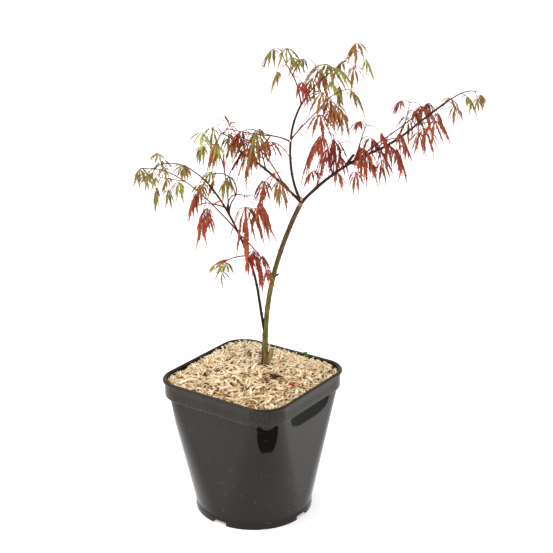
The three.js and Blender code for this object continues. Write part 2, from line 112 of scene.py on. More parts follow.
def calculate(tree, operation, *values):
    """The result of a Math node whose inputs are fed in order."""
    node = add_node(tree, "Math", {"operation": operation})
    for value, socket in zip(values, node.inputs):
        feed(tree, value, socket)
    return node.outputs[0]


def mix(tree, factor, first, second):
    """Two colours mixed by a factor, through the colour sockets of a Mix node."""
    node = add_node(tree, "Mix", {"data_type": "RGBA"})
    for value, index in ((factor, 0), (first, 6), (second, 7)):
        feed(tree, value, node.inputs[index])
    return node.outputs[2]


def ramp(tree, value, low, high, to_low=0.0, to_high=1.0):
    """A value carried evenly from the range low to high onto another range, and held at its ends."""
    return add_node(tree, "MapRange", Value=value, From_Min=low, From_Max=high,
                    To_Min=to_low, To_Max=to_high).outputs["Result"]


def new_group(name, inputs, outputs):
    """An empty node group with named inputs (type and value) and outputs (type)."""
    group = bpy.data.node_groups.new(name, "ShaderNodeTree")
    for label, (kind, value) in inputs.items():
        socket = group.interface.new_socket(label, in_out="INPUT", socket_type="NodeSocket" + kind)
        if value is not None:
            socket.default_value = value
    for label, kind in outputs.items():
        group.interface.new_socket(label, in_out="OUTPUT", socket_type="NodeSocket" + kind)
    return group, group.nodes.new("NodeGroupInput").outputs, group.nodes.new("NodeGroupOutput")


# Mottle: a noise, spread out by the contrast, deals out two colours and is given as a value too.
mottle, given, result = new_group(
    "mottle",
    {"Vector": ("Vector", None), "Scale": ("Float", 100.0), "Dark": ("Color", (0, 0, 0, 1)),
     "Light": ("Color", (1, 1, 1, 1)), "Contrast": ("Float", 0.25)},
    {"Color": "Color", "Value": "Float"})
broad = add_node(mottle, "TexNoise", Vector=given["Vector"], Scale=given["Scale"], Detail=4.0)
spread = ramp(mottle, broad.outputs["Fac"], calculate(mottle, "SUBTRACT", 0.5, given["Contrast"]),
              calculate(mottle, "ADD", 0.5, given["Contrast"]))
feed(mottle, mix(mottle, spread, given["Dark"], given["Light"]), result.inputs["Color"])
feed(mottle, spread, result.inputs["Value"])

# Relief: a noise read as height and turned into a normal.
relief, given, result = new_group(
    "relief",
    {"Vector": ("Vector", None), "Scale": ("Float", 300.0), "Strength": ("Float", 0.3),
     "Depth": ("Float", 0.0003)},
    {"Normal": "Vector"})
bumps = add_node(relief, "TexNoise", Vector=given["Vector"], Scale=given["Scale"], Detail=6.0)
raised = add_node(relief, "Bump", Height=bumps.outputs["Fac"], Strength=given["Strength"],
                  Distance=given["Depth"])
feed(relief, raised.outputs["Normal"], result.inputs["Normal"])


def new_finish(name, **shader):
    """A material with its Principled shader; returns it, its node tree, shader and coordinates."""
    material = bpy.data.materials.new(name)
    material.use_nodes = True
    tree = material.node_tree
    tree.nodes.clear()
    surface = add_node(tree, "BsdfPrincipled", **shader)
    add_node(tree, "OutputMaterial", Surface=surface.outputs["BSDF"])
    return material, tree, surface, add_node(tree, "TexCoord").outputs["Object"]


def shades(tree, vector, dark, light, scale, contrast=0.2):
    """The mottle of two colours along a coordinate."""
    return add_node(tree, "Group", {"node_tree": mottle}, Vector=vector, Scale=scale,
                    Dark=paint(dark), Light=paint(light), Contrast=contrast).outputs


def roughen(tree, surface, vector, scale, strength, depth):
    """Gives a surface the relief along a coordinate."""
    bumpy = add_node(tree, "Group", {"node_tree": relief}, Vector=vector, Scale=scale,
                     Strength=strength, Depth=depth)
    feed(tree, bumpy.outputs["Normal"], surface.inputs["Normal"])


def grid_faces(rows, columns, wrap=False, count=1, caps=False):
    """Quads between the rows and columns of count grids that lie one after another; a wrapped grid
    joins its last column to its first, and caps close its first and last row."""
    row = np.arange(rows - 1)[:, None]
    column = np.arange(columns if wrap else columns - 1)[None]
    ahead = (column + 1) % columns
    near, far = row * columns, (row + 1) * columns
    quads = np.stack([near + column, near + ahead, far + ahead, far + column], -1).reshape(-1, 4)
    shift = np.arange(count)[:, None, None] * rows * columns
    faces = (quads[None] + shift).reshape(-1, 4).tolist()
    if caps:
        ring = np.arange(columns)
        ends = np.stack([ring[::-1], ring + (rows - 1) * columns])
        faces += (ends[None] + shift).reshape(-1, columns).tolist()
    return faces


def place(name, points, faces, material, slot, replaces=(), sharp=None, **attributes):
    """Puts points, in mm, and faces into one smooth mesh that rides with the pot; edges bent by
    more than sharp degrees stay crisp, and attributes are values kept at its points."""
    mesh = bpy.data.meshes.new(name)
    mesh.from_pydata((np.reshape(points, (-1, 3)) / 1000).tolist(), [], faces)
    mesh.shade_smooth()
    if sharp:
        mesh.set_sharp_from_angle(angle=np.radians(sharp))
    for key, values in attributes.items():
        kind, field = (("FLOAT", "value") if np.ndim(values) == 1 else ("FLOAT_VECTOR", "vector"))
        mesh.attributes.new(key, kind, "POINT").data.foreach_set(
            field, np.ravel(values).astype(np.float32))
    mesh.materials.append(material)
    piece = bpy.data.objects.new(name, mesh)
    bpy.context.scene.collection.objects.link(piece)
    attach(piece, "root")
    if replaces:
        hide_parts(*replaces)


def rounded_square(half, corner):
    """Rings of a square with round corners, for arrays of its half side and corner radius. A side
    is a straight run of columns, and a corner an arc; more columns stand at the notches' edges."""
    half, corner = np.atleast_1d(half)[:, None], np.atleast_1d(corner)[:, None]
    run = np.linspace(-1, 1, SIDE_COLUMNS, endpoint=False)[None] * (half - corner)
    edge = np.arcsin((NOTCH_HALF - FOOT_FLAT) / (FOOT_RADIUS - FOOT_FLAT))
    angle = np.concatenate([
        [0, edge / 2, edge - 1e-3, edge + 1e-3],
        np.linspace(edge, np.pi / 2 - edge, ARC_COLUMNS + 2)[1:-1],
        np.pi / 2 - np.array([edge + 1e-3, edge - 1e-3, edge / 2])])
    side = np.stack([half + 0 * run, run], -1)
    arc = np.stack([half - corner + corner * np.cos(angle),
                    half - corner + corner * np.sin(angle)], -1)
    quarter = np.concatenate([side, arc], 1)
    turned = np.stack([-quarter[..., 1], quarter[..., 0]], -1)
    return np.concatenate([quarter, turned, -quarter, -turned], 1)


def flat_depth(along, below, half, drop, slope):
    """How far a flat under the collar cuts in: nothing outside a half ellipse that hangs from the
    collar, and inside it the slope times the height above the ellipse's edge."""
    edge = drop * np.sqrt(np.clip(1 - (along / half) ** 4, 0, 1))
    return np.clip(edge - below, 0, None) * slope * (np.abs(along) < half)


def wall_at(share, inset=0.0):
    """Height, half side and corner radius of the wall at shares of its way from the foot up to the
    collar: straight between those two, and moved in by inset."""
    foot = np.array([FOOT_TALL, FOOT_RADIUS, FOOT_CORNER])
    collar = np.array([COLLAR_BOTTOM, SHOULDER_HALF, SHOULDER_CORNER])
    return foot + np.outer(share, collar - foot) - [0, inset, inset]


# The wall's section from the middle of the underside, out and up the skin, over the lip and down
# the inside to the floor: height, half side, corner radius.
body = np.concatenate([[0, 0.004], np.linspace(0.01, 0.75, 26), np.linspace(0.76, 0.985, 34)])
inner = body[::-1][::3]
roll = np.linspace(0, np.pi, 9)
lip_under = POT_TOP - LIP_TALL
foot = [(0, 0.02, 0.01), (0, FOOT_RADIUS - NOTCH_DEEP - 0.01, FOOT_CORNER - NOTCH_DEEP)]
foot += [(z, FOOT_RADIUS - inset, FOOT_CORNER - inset) for z, inset in (
    (0, NOTCH_DEEP), (0, 0.8), (0.25, 0.2), (1, 0), (5, 0), (FOOT_TALL - 1.2, 0),
    (FOOT_TALL - 0.4, 0.3))]
section = np.array([
    *foot, *wall_at(body), (COLLAR_BOTTOM - 0.8, COLLAR_HALF - 1, SHOULDER_CORNER - 0.6),
    *[(z, COLLAR_HALF - inset, SHOULDER_CORNER) for z, inset in (
        (COLLAR_BOTTOM, 0.2), (COLLAR_BOTTOM + 0.8, 0), (COLLAR_BOTTOM + 9, 0),
        (lip_under - 0.5, 0), (lip_under, -0.3))],
    *[(lip_under + LIP_TALL / 2 * (1 - np.cos(a)), LIP_HALF - LIP_ROLL * (1 - np.sin(a)), LIP_CORNER)
      for a in roll],
    (POT_TOP - 0.4, LIP_HALF - 3.4, LIP_CORNER - 1.2),
    *[(z, COLLAR_HALF - POT_WALL, SHOULDER_CORNER - POT_WALL)
      for z in (POT_TOP - 1.5, COLLAR_BOTTOM + 3)],
    *wall_at(inner, POT_WALL),
    (POT_FLOOR, FOOT_RADIUS - POT_WALL, FOOT_CORNER - POT_WALL), (POT_FLOOR, 0.02, 0.01),
])
height, half, corner = section.T
ring = rounded_square(half, corner)
level = np.repeat(height[:, None], ring.shape[1], 1)
outer = np.arange(len(section)) < len(foot) + len(body)
across = np.minimum(np.abs(ring[..., 0]), np.abs(ring[..., 1]))
under = outer[:, None] & (np.arange(len(section)) > 1)[:, None] & (level < NOTCH_TALL)
level = np.where(under & (across < NOTCH_HALF), NOTCH_TALL, level)
skin = (outer & (height > FOOT_TALL))[:, None]
diagonal = (np.abs(ring[..., 0]) - np.abs(ring[..., 1])) / np.sqrt(2)
below = COLLAR_BOTTOM - level
cut_corner = np.where(skin, flat_depth(diagonal, below, **CORNER_FLAT), 0)
cut_side = np.where(skin & (np.abs(ring[..., 0]) > np.abs(ring[..., 1])),
                    flat_depth(ring[..., 1], below, **SIDE_FLAT), 0)
ring = ring - np.sign(ring) * (cut_corner / np.sqrt(2))[..., None]
ring[..., 0] -= np.sign(ring[..., 0]) * cut_side
shell = np.concatenate([ring, level[..., None]], -1)
# How strongly each point takes the flats' painted shade, from how deep the flat cuts in there.
flats = np.clip((cut_corner + cut_side) * FLAT_EDGE, 0, 1)

# Black plastic: glossy below, with finer vertical streaks and less gloss on the collar; dust
# lies low on the wall and on the lip, in specks. The flats under the collar carry a painted
# shade of the collar's overhang: near black, with little gloss.
plastic, tree, surface, coords = new_finish("black_plastic")
height = add_node(tree, "SeparateXYZ", Vector=coords).outputs["Z"]
on_collar = ramp(tree, height, 0.1675, 0.1685)
upright = add_node(tree, "Mapping", Vector=coords, Scale=(1, 1, 0.04)).outputs[0]
streaks = shades(tree, upright, "080503", "2e241a", 520.0, 0.3)
haze = shades(tree, coords, "0e0a05", "1d150c", 14.0, 0.35)
plain = mix(tree, ramp(tree, height, 0.075, 0.0, 0.0, 0.55), haze["Color"], paint("1c1006"))
plain = mix(tree, on_collar, plain, streaks["Color"])
# Painted shade: the flats under the collar are mixed to near black and lose most of their gloss.
flat_shade_mask = add_node(tree, "Attribute", {"attribute_name": "flats"}).outputs["Fac"]
plain = mix(tree, flat_shade_mask, plain, paint("080604"))
specks = add_node(tree, "TexVoronoi", Vector=coords, Scale=210.0).outputs["Distance"]
patches = add_node(tree, "TexNoise", Vector=coords, Scale=60.0, Detail=3.0).outputs["Fac"]
dust = calculate(tree, "MULTIPLY", ramp(tree, specks, 0.17, 0.1), ramp(tree, patches, 0.52, 0.6))
dust = calculate(tree, "MULTIPLY", dust, ramp(tree, height, 0.11, 0.0, 0.35, 1.0))
feed(tree, mix(tree, dust, plain, paint("8a7456")), surface.inputs["Base Color"])
feed(tree, ramp(tree, flat_shade_mask, 0.0, 0.6, 0.26, 0.04), surface.inputs["Specular IOR Level"])
feed(tree, ramp(tree, on_collar, 0.0, 1.0, 0.17, 0.36), surface.inputs["Roughness"])
roughen(tree, surface, coords, 120.0, 0.12, 0.0004)

place("nursery_pot", shell, grid_faces(*shell.shape[:2], wrap=True, caps=True), plastic, "pot",
      replaces=["pot"], sharp=32, flats=flats.ravel())

# ---------------------------------------------------------------- compost
# Dark potting compost fills the pot to just under its lip, and heaps up round the trunk.

SOIL_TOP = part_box("potting_soil")[1][2] * 1000
SOIL_HALF = COLLAR_HALF - POT_WALL - 0.2
SOIL_CORNER = SHOULDER_CORNER - POT_WALL - 0.2
SOIL_RIM = 182
RIM_TILT = 3.5  # how much higher it stands against the far corner than half way round
FAR_CORNER = np.array([-0.6, 0.8])
SOIL_CROWN = SOIL_TOP - 1.5
SOIL_PAD = 13
TRUNK_FOOT = np.array([13, 9, SOIL_TOP + 0.3])
HEAP_RINGS = 60


def heap_point(edge, inward):
    """A place on the heap, at a share of the way in from the point edge of the pot's wall to the
    pad round the trunk. The height rises as a quarter of a sine wave from rim to crown, and the
    rim's own height grows evenly towards the far corner."""
    away = edge / np.linalg.norm(edge, axis=-1, keepdims=True)
    flat = edge + (TRUNK_FOOT[:2] + SOIL_PAD * away - edge) * inward[..., None]
    rim = SOIL_RIM + RIM_TILT * (edge @ FAR_CORNER) / SOIL_HALF
    lift = rim + (SOIL_CROWN - rim) * np.sin(inward * np.pi / 2)
    return np.concatenate([flat, lift[..., None]], -1)


def waves(points, seed, lengths):
    """Uneven swells: for each wavelength, four sine waves in random directions with random phases,
    as high as the wavelength, added up and brought back to about -1 to 1."""
    draws = np.random.default_rng(seed)
    total = 0
    for length in lengths:
        way = draws.normal(size=(4, points.shape[-1]))
        way /= np.linalg.norm(way, axis=1, keepdims=True)
        phase = draws.uniform(0, 2 * np.pi, 4)
        total = total + length * np.sin(points @ way.T * 2 * np.pi / length + phase).sum(-1)
    return total / (2 * sum(lengths))


wall = rounded_square(SOIL_HALF, SOIL_CORNER)[0]
inward = np.linspace(0, 1, HEAP_RINGS)[:, None] + 0 * wall[None, :, 0]
heap = heap_point(wall[None] + 0 * inward[..., None], inward)
heap[..., 2] += 1.4 * waves(heap[..., :2], 5, [9, 14, 23])
share = np.array([0, 0.5, 0.99, 1.06])
_, half, corner = wall_at(np.minimum(share, 1), POT_WALL + 0.5).T
buried = rounded_square(half, corner)
depths = wall_at(share)[:, 0]
sides = np.concatenate([buried, depths[:, None, None] + 0 * buried[..., :1]], -1)
middle = heap[-1].mean(0) + 0 * heap[-1:]
middle[..., :2] += 1e-3 * (heap[-1:, :, :2] - middle[..., :2])
compost = np.concatenate([sides, heap, middle])


def mottled(name, colours, scale, relief_values, contrast=0.2, **shader):
    """A finish mottled in two shades, with a relief of its own scale, strength and depth."""
    material, tree, surface, coords = new_finish(name, **shader)
    feed(tree, shades(tree, coords, *colours, scale, contrast)["Color"],
         surface.inputs["Base Color"])
    roughen(tree, surface, coords, *relief_values)
    return material


place("compost", compost, grid_faces(*compost.shape[:2], wrap=True, caps=True),
      mottled("compost", ("2c1d10", "6a5030"), 320.0, (500.0, 0.9, 0.0015), Roughness=0.95),
      "mulch", replaces=["potting_soil"])

# ---------------------------------------------------------------- mulch
# Chopped straw and wood shavings, pale where fresh and brown where old, strewn over the compost
# in a loose layer. They lie flat or lean, and a few curl up.

CHIP_STATIONS = 5
CURLED_UP = 0.12  # the share of chips that stand up
LEFT_CORNER = np.array([-0.8, 0.6])
# The pale kinds lie more towards the left corner and the brown ones away from it: painted light from the
# left.
CHIPS = [  # name, count, colours, length, width, lift above the compost, how many more lie left
    ("chips_brown", 800, ("5c3f22", "a87f4e"), (5, 15), (0.9, 2.4), (0.0, 1.6), -0.55),
    ("chips_tan", 1250, ("a88550", "dcb986"), (6, 18), (0.9, 2.7), (0.6, 2.6), -0.4),
    ("chips_straw", 1400, ("d9b888", "f5e0ba"), (6, 19), (1.0, 3.0), (1.4, 3.9), 0.25),
    ("chips_pale", 1050, ("ecd4ac", "fff3d8"), (7, 22), (1.1, 3.4), (2.2, 4.6), 0.3),
]


def unit(v):
    """Vectors scaled to length one."""
    return v / np.maximum(np.linalg.norm(v, axis=-1, keepdims=True), 1e-9)


def chip_strips(draws, count, length, width, lift, more_left):
    """Curled strips: a centre line that turns evenly from one end to the other, with a flat oblong
    section carried along it, pinched at both ends. Returns count x stations x 4 points."""
    share = 1.12 * (1 - np.sqrt(draws.uniform(0, 1, count)))
    span = np.linalg.norm(np.roll(wall, -1, 0) - wall, axis=1)
    # More chips of a kind towards the left corner or away from it; with the pale kinds this paints light
    # from the left.
    span = span * (1 + more_left * (wall @ LEFT_CORNER) / SOIL_HALF)
    edge = wall[draws.choice(len(wall), count, p=span / span.sum())] * 0.988
    centre = heap_point(edge, share)
    centre[:, 2] += draws.uniform(*lift, count)
    bigger = 1 - 0.3 * (edge @ FAR_CORNER) / SOIL_HALF
    long = draws.uniform(*length, count) * draws.uniform(0.6, 1, count) * bigger
    wide = draws.uniform(*width, count) * bigger
    heading = draws.uniform(0, 2 * np.pi, count)
    rise = np.where(draws.uniform(size=count) < CURLED_UP, draws.uniform(0.4, 1.0, count),
                    draws.normal(0, 0.16, count))
    curl = draws.normal(0, 0.5, count)
    sway = draws.normal(0, 0.35, count)
    t = (np.arange(CHIP_STATIONS - 1) + 0.5) / (CHIP_STATIONS - 1) - 0.5
    h = heading[:, None] + sway[:, None] * t * 2
    r = rise[:, None] + curl[:, None] * t * 2
    way = np.stack([np.cos(r) * np.cos(h), np.cos(r) * np.sin(h), np.sin(r)], -1)
    line = np.cumsum(way * (long / (CHIP_STATIONS - 1))[:, None, None], 1)
    line = np.concatenate([0 * line[:, :1], line], 1)
    line += (centre - line.mean(1))[:, None]
    line[..., 2] = np.maximum(line[..., 2], centre[:, None, 2] - 2.5)
    way = np.concatenate([way, way[:, -1:]], 1)
    side = unit(np.stack([-way[..., 1], way[..., 0], 0 * way[..., 0]], -1))
    up = np.cross(way, side)
    lean = draws.normal(0, 0.5, count)[:, None, None] + draws.normal(0, 0.3, count)[:, None, None] * (
        np.linspace(-1, 1, CHIP_STATIONS)[None, :, None])
    side, up = side * np.cos(lean) + up * np.sin(lean), up * np.cos(lean) - side * np.sin(lean)
    pinch = np.interp(np.linspace(0, 1, CHIP_STATIONS), [0, 0.2, 0.7, 1], [0.45, 1, 0.9, 0.3])
    half = wide[:, None] / 2 * pinch * draws.uniform(0.75, 1.2, (count, CHIP_STATIONS))
    thick = (0.18 + 0.08 * wide[:, None] * pinch)[..., None]
    half = half[..., None]
    return np.stack([line - side * half - up * thick, line + side * half - up * thick,
                     line + side * half + up * thick, line - side * half + up * thick], 2)


def in_pot(points):
    """Pulls points that would reach past the pot's inner wall back to it, where they are low."""
    flat = points[..., :2]
    slack = SOIL_HALF - SOIL_CORNER
    beyond = np.linalg.norm(np.clip(np.abs(flat) - slack, 0, None), axis=-1) / SOIL_CORNER
    over = np.clip(beyond, 1, None)[..., None]
    core = np.clip(flat, -slack, slack)
    return np.concatenate([core + (flat - core) / over, points[..., 2:]], -1)


draws = np.random.default_rng(41)
for name, count, colours, *sizes in CHIPS:
    straw = mottled("straw_" + name, colours, 170.0, (1400.0, 0.5, 0.0003), 0.16, Roughness=0.85)
    strips = in_pot(chip_strips(draws, count, *sizes))
    place(name, strips, grid_faces(*strips.shape[1:3], wrap=True, count=count, caps=True), straw,
          "mulch", sharp=50)

# ---------------------------------------------------------------- trunk and boughs
# A slim trunk, olive-green below and brown above, grafted beside a cut rootstock stub. The stem
# and boughs that grow from it are the dark purple-brown of young wood, ringed at their nodes.

# turn: 0 heads for the fan's right end, 90 for its back, 180 for its left end, -90 for its front.
# rise: degrees above the level; over 90 leans back over. radius: at root and tip.
LIMBS = {
    "trunk": dict(length=232, turn=0, rise=[92, 84, 73, 64], radius=[3.3, 3], flare=2.8,
                  nodes=[0.19, 0.36, 0.55, 0.7, 0.85]),
    "left_stem": dict(on="trunk", at=0.19, length=230, turn=200, rise=[80, 82, 70, 64, 52],
                      radius=[2, 1.2], nodes=[0.14, 0.32, 0.5, 0.65, 0.78, 0.9]),
    "right_bough": dict(on="trunk", at=1, length=222, turn=10, rise=[46, 34, 20, 38, 34],
                        radius=[2.1, 1.3], nodes=[0.12, 0.24, 0.36, 0.52, 0.66, 0.8]),
    "centre_bough": dict(on="trunk", at=1, length=130, turn=0, rise=[116, 98, 84, 62],
                         radius=[1.8, 1.3], nodes=[0.3, 0.46, 0.63, 0.82]),
    "left_bough": dict(on="trunk", at=1, length=104, turn=155, rise=[40, 36, 24], radius=[1.9, 1.3],
                       nodes=[0.3, 0.45, 0.6, 0.8]),
}
STUBS = {
    "rootstock": dict(on="trunk", at=0.02, length=24, turn=0, rise=[50, 85], radius=[5, 2.6]),
    "bud": dict(on="trunk", at=0.55, length=8, turn=0, rise=[10, 30], radius=[1.9, 1]),
    "pruned_shoot": dict(on="right_bough", at=0.33, length=18, turn=0, rise=[62, 50],
                         radius=[2, 1.8]),
}
FAN_HEADING = 36
CURVE_STEPS = 24
LIMB_COLUMNS = 28
FLARE_LENGTH = 24
ROWS_PER_MM = 1.3
STUB_ROWS = 30
DOWN = np.array([0.0, 0.0, -1.0])


def direction(turn, rise):
    """Unit vectors for a turn from the fan's heading and a rise above the level, in degrees."""
    heading, rise = np.radians(turn) + np.radians(FAN_HEADING), np.radians(rise)
    return np.stack([np.cos(rise) * np.cos(heading), np.cos(rise) * np.sin(heading),
                     np.sin(rise)], -1)


def grown_curve(start, row):
    """Equal steps along the row's turn and its rise, which runs between evenly spaced stations.
    Returns the points and the directions at them."""
    t = (np.arange(CURVE_STEPS) + 0.5) / CURVE_STEPS
    rise = np.interp(t, np.linspace(0, 1, len(row["rise"])), row["rise"])
    way = direction(row["turn"], rise)
    points = np.vstack([start, start + np.cumsum(way * row["length"] / CURVE_STEPS, 0)])
    return points, np.vstack([way, way[-1:]])


def place_on(points, t):
    """The place at t, from 0 to 1, on evenly spaced points."""
    along = t * (len(points) - 1)
    first = min(int(along), len(points) - 2)
    return points[first] + (points[first + 1] - points[first]) * (along - first)


def resampled(points, rows):
    """The same curve through more points, rounded off with a cubic through its points."""
    t = np.linspace(0, len(points) - 1, rows)
    i = np.clip(t.astype(int), 0, len(points) - 2)
    u = (t - i)[:, None]
    slope = np.gradient(points, axis=0)
    a, b, da, db = points[i], points[i + 1], slope[i], slope[i + 1]
    return ((2 * u**3 - 3 * u**2 + 1) * a + (u**3 - 2 * u**2 + u) * da
            + (3 * u**2 - 2 * u**3) * b + (u**3 - u**2) * db)


def carried_frames(lines):
    """Two unit vectors across lines (count x steps x 3) and each other, which turn as little as
    they can from step to step."""
    along = unit(np.gradient(lines, axis=1))
    start = np.where(np.abs(along[:, 0, :1]) > 0.9, [[0.0, 1.0, 0.0]], [[1.0, 0.0, 0.0]])
    normal = [unit(start - along[:, 0] * (start * along[:, 0]).sum(-1, keepdims=True))]
    for step in range(1, lines.shape[1]):
        last = normal[-1]
        normal.append(unit(last - along[:, step] * (last * along[:, step]).sum(-1, keepdims=True)))
    normal = np.stack(normal, 1)
    return normal, np.cross(along, normal)


def tubes(lines, radii, columns):
    """Round sections carried along lines; radii are count x steps, or count x steps x columns."""
    normal, binormal = (across[:, :, None] for across in carried_frames(lines))
    turn = (np.arange(columns) * 2 * np.pi / columns)[:, None]
    radii = radii if np.ndim(radii) == 3 else radii[..., None]
    return lines[:, :, None] + (normal * np.cos(turn) + binormal * np.sin(turn)) * radii[..., None]


def limb_radius(row, t):
    """Tapers evenly, with a flare that fades out along the trunk."""
    return (row["radius"][0] + (row["radius"][1] - row["radius"][0]) * t
            + row.get("flare", 0) * np.exp(-t * row["length"] / FLARE_LENGTH))


def bark_tube(points, row, seed, rows, roots=1.0):
    """A limb's skin and the bark's own coordinates: the limb's radius, raised in a collar at each
    node with a groove over it, and roughened by long furrows and by lumps."""
    line = resampled(points, rows)
    t = np.linspace(0, 1, rows)[:, None]
    turn = np.arange(LIMB_COLUMNS)[None] * 2 * np.pi / LIMB_COLUMNS
    along = t * row["length"]
    base = limb_radius(row, t)
    grain, lump = (np.stack(np.broadcast_arrays(
        np.cos(turn) * wide, np.sin(turn) * wide, along * long), -1)
        for wide, long in ((3, 0.12), (4, 1)))
    radius = base * (1 + 0.035 * waves(grain, seed, [0.9, 1.7, 2.8])
                     + 0.05 * waves(lump, seed + 1, [5, 9, 17]))
    for node in row.get("nodes", []):
        gap = along - node * row["length"] + 0.5 * np.sin(turn + node * 40)
        radius = radius + base * (0.2 * np.exp(-(gap / 1.3) ** 2)
                                  - 0.07 * np.exp(-((gap - 2.2) / 0.7) ** 2))
    if "on" in row:
        radius = radius + roots * np.exp(-along / 3.5)
    end = np.clip((1 - t) * row["length"] / (base * 0.8), 0, 1)
    radius = radius * np.sqrt(np.clip(1 - (1 - end) ** 2, 0.0004, 1))
    return tubes(line[None], radius[None], LIMB_COLUMNS)[0], grain


curves = {}
skins = {}
for number, (name, row) in enumerate(LIMBS.items()):
    start = place_on(curves[row["on"]], row["at"]) if "on" in row else TRUNK_FOOT
    curves[name], _ = grown_curve(start, row)
    points = curves[name].copy()
    if "on" not in row:
        points[0, 2] -= 2  # the trunk's foot stands in the compost
    skins[name] = bark_tube(points, row, 10 * number, int(row["length"] * ROWS_PER_MM))
for name, row in STUBS.items():
    points, _ = grown_curve(place_on(curves[row["on"]], row["at"]), row)
    skins[name] = bark_tube(points, row, 70 + len(name), STUB_ROWS, roots=0.2)


def bark(name, low, high, coarse, fine, pore=0.55):
    """Bark along the limb's own coordinates: two shades in long streaks, crossed by pale breathing
    pores, with furrows in relief. Returns its tree, shader and sockets too, for more colours."""
    material, tree, surface, coords = new_finish(name, Specular_IOR_Level=0.2)
    grain = add_node(tree, "Attribute", {"attribute_name": "grain"}).outputs["Vector"]
    streak = shades(tree, grain, low, high, coarse)
    short = add_node(tree, "Mapping", Vector=grain, Scale=(1, 1, 9)).outputs[0]
    pores = add_node(tree, "TexVoronoi", Vector=short, Scale=0.9).outputs["Distance"]
    colour = mix(tree, ramp(tree, pores, 0.2, 0.12, 0, pore), streak["Color"], paint("a08a66"))
    feed(tree, colour, surface.inputs["Base Color"])
    feed(tree, ramp(tree, streak["Value"], 0, 1, 0.42, 0.7), surface.inputs["Roughness"])
    roughen(tree, surface, grain, fine, 0.55, 0.0005)
    return material, tree, surface, coords, grain, colour


# The trunk: brown with olive streaks above, olive-green below, red-brown on one side at the foot.
trunk_bark, tree, surface, coords, grain, brown = bark(
    "trunk_bark", "33241a", "70563a", 0.8, 3.0, 0.4)
xyz = add_node(tree, "SeparateXYZ", Vector=coords).outputs
wander = add_node(tree, "TexNoise", Vector=grain, Scale=0.5).outputs["Fac"]
edge = calculate(tree, "MULTIPLY_ADD", wander, 0.14, xyz["Z"])
from_left = calculate(tree, "MULTIPLY_ADD", xyz["Y"], 0.6, xyz["X"])
colour = mix(tree, ramp(tree, edge, 0.45, 0.37), brown,
             shades(tree, grain, "3b3614", "7d7432", 0.9)["Color"])
at_foot = calculate(tree, "MULTIPLY", ramp(tree, from_left, 0.0175, 0.0155),
                    ramp(tree, edge, 0.33, 0.29))
colour = mix(tree, at_foot, colour, shades(tree, grain, "34120f", "6e3226", 0.9)["Color"])
feed(tree, colour, surface.inputs["Base Color"])


def add_limb(name, pieces, material, slot, replaces):
    """One mesh of a limb and the stubs on it, with the bark's coordinates kept at its points."""
    faces, count = [], 0
    for piece in pieces:
        steps, columns, _ = skins[piece][0].shape
        faces += [[corner + count for corner in face]
                  for face in grid_faces(steps, columns, wrap=True, caps=True)]
        count += steps * columns
    points, grain = (np.concatenate([skins[piece][part].reshape(-1, 3) for piece in pieces])
                     for part in (0, 1))
    place(name, points, faces, material, slot, replaces=replaces, grain=grain)


add_limb("trunk_and_bud", ["trunk", "bud"], trunk_bark, "bark", ["trunk"])
stub_bark = bark("stub_bark", "5b482d", "b59c6e", 1.6, 4.0)[0]
add_limb("rootstock_stub", ["rootstock"], stub_bark, "bark", [])
stem_bark = bark("stem_bark", "140607", "34120f", 0.8, 3.0, 0.15)[0]
add_limb("second_stem", ["left_stem"], stem_bark, "young_bark", ["left_stem"])
bough_bark = bark("bough_bark", "1e0c09", "4a241a", 0.8, 3.0, 0.2)[0]
add_limb("right_bough_and_stub", ["right_bough", "pruned_shoot"], bough_bark, "young_bark",
         ["right_bough"])
add_limb("middle_bough", ["centre_bough"], bough_bark, "young_bark", ["centre_bough"])
add_limb("left_bough_skin", ["left_bough"], bough_bark, "young_bark", ["left_bough"])

# ---------------------------------------------------------------- twigs and leaves
# Thin twigs bear opposite pairs of leaves on long stalks. A blade is cut to its base into seven
# narrow lobes with side lobes, toothed edges and thread-like tips, which hang like a closed
# umbrella; it is olive-green, bronze or red-brown, and most lobes end redder than they start.

